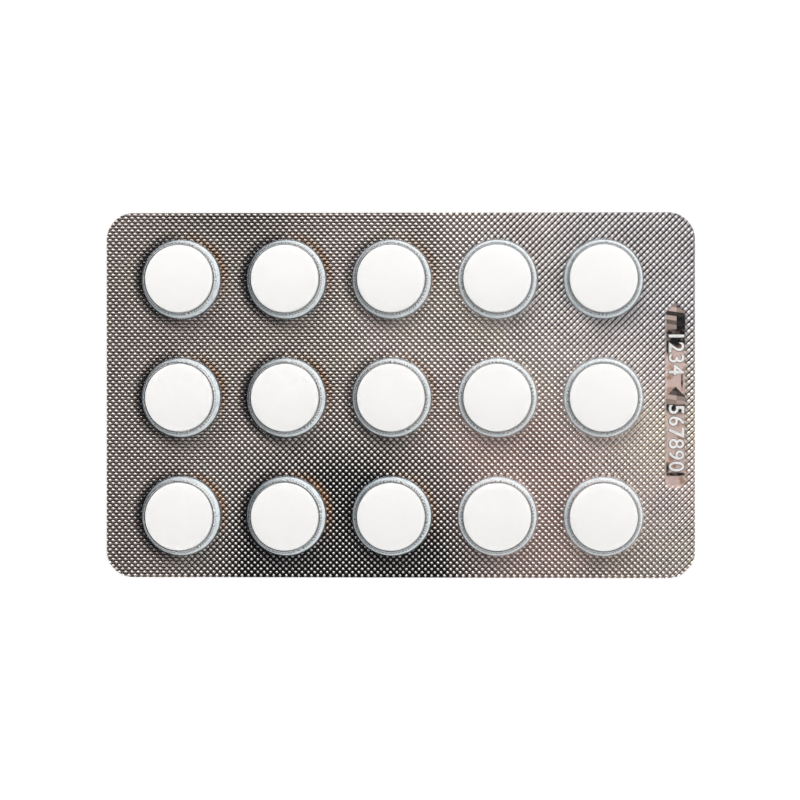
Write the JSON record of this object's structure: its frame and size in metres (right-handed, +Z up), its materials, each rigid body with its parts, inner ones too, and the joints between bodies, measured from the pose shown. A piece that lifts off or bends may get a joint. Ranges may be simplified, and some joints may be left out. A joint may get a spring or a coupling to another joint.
{
  "type": "pill blister pack",
  "caption": "Blister pack: a clear formed film with domed round pockets, sealed by a knurled aluminium lidding foil, with a round white tablet in each pocket.",
  "frame": {"origin": "middle of the lidding foil's underside, which the pack lies on", "axes": "+X along the pack towards the code strip, +Y across it, +Z up through the pockets"},
  "size_m": [0.092, 0.057, 0.0045],
  "materials": {
    "clear_film": "gloss",
    "foil": "satin",
    "tablet": "matte"
  },
  "bodies": {
    "root": {"formed_film": "clear_film", "lidding_foil": "foil", "tablet_r1_c1": "tablet", "tablet_r1_c2": "tablet", "tablet_r1_c3": "tablet", "tablet_r1_c4": "tablet", "tablet_r1_c5": "tablet", "tablet_r2_c1": "tablet", "tablet_r2_c2": "tablet", "tablet_r2_c3": "tablet", "tablet_r2_c4": "tablet", "tablet_r2_c5": "tablet", "tablet_r3_c1": "tablet", "tablet_r3_c2": "tablet", "tablet_r3_c3": "tablet", "tablet_r3_c4": "tablet", "tablet_r3_c5": "tablet"}
  },
  "joints": []
}
